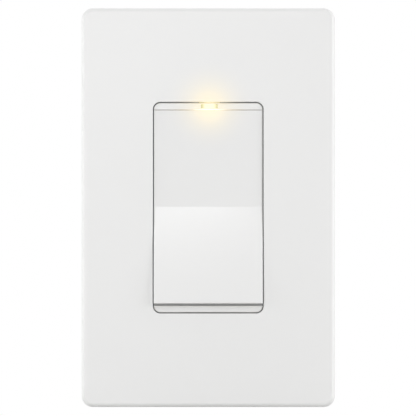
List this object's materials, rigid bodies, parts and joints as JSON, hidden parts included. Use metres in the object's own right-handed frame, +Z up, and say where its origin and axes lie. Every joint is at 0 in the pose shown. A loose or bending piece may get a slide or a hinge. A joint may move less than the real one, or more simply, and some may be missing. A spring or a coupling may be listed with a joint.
{
  "type": "light switch",
  "caption": "White decorator rocker light switch with a screwless wall plate and a glowing pilot lamp slot above the paddle, with its strap, body and contacts.",
  "frame": {"origin": "midway between the two box screws, in the plane of the wall", "axes": "+X to the right seen from the front, +Y into the wall, +Z up"},
  "size_m": [0.0782, 0.0346, 0.1232],
  "materials": {
    "white_plastic": "satin",
    "bracket_plastic": "matte",
    "zinc_steel": "satin",
    "plated_screw": "satin",
    "white_screw": "satin",
    "green_screw": "satin",
    "fibre": "matte",
    "body_plastic": "matte",
    "acetal": "satin",
    "spring_steel": "polished",
    "brass": "satin",
    "nickel": "satin",
    "contact_silver": "satin",
    "clear_plastic": "polished",
    "lamp_case": "gloss",
    "board": "satin",
    "resistor": "satin",
    "diode": "gloss",
    "load_lead": "satin",
    "neutral_lead": "satin"
  },
  "bodies": {
    "switch": {"wall_plate": "white_plastic", "wall_plate_bracket": "bracket_plastic", "bracket_screws": "white_screw", "strap": "zinc_steel", "box_screws": "plated_screw", "screw_retainers": "fibre", "ground_screw": "green_screw", "face_frame": "white_plastic", "back_body": "body_plastic", "assembly_screws": "plated_screw", "fixed_contact": "contact_silver", "line_terminal": "brass", "load_terminal": "brass", "neutral_terminal": "brass", "terminal_screws": "brass", "neutral_screw": "nickel", "line_clamp_plate": "zinc_steel", "load_clamp_plate": "zinc_steel", "neutral_clamp_plate": "zinc_steel", "lamp_window": "clear_plastic", "lamp": "lamp_case", "lamp_board": "board", "lamp_resistor": "resistor", "lamp_diode": "diode", "lamp_lead_load": "load_lead", "lamp_lead_neutral": "neutral_lead"},
    "paddle": {"paddle": "white_plastic", "plunger_spring": "spring_steel"},
    "plunger": {"plunger": "acetal"},
    "contact": {"contact_arm": "brass", "moving_contact": "contact_silver"}
  },
  "joints": [
    {"name": "paddle_tilt", "type": "hinge", "parent": "switch", "child": "paddle", "pos_m": [0, -0.001, 0], "axis": [1, 0, 0], "range_deg": [0, 5]},
    {"name": "contact_tilt", "type": "hinge", "parent": "switch", "child": "contact", "pos_m": [0, 0.015, 0], "axis": [1, 0, 0], "range_deg": [-12, 0]},
    {"name": "plunger_slide", "type": "slide", "parent": "paddle", "child": "plunger", "axis": [0, -0.999, 0.0436], "range_m": [0, 0.0008], "stiffness_N_per_m": 800, "springref_m": -0.004, "deforming": ["plunger_spring"]}
  ],
  "couplings": [
    {"joint": "contact_tilt", "follows": "paddle_tilt", "ratio": -2.4}
  ]
}
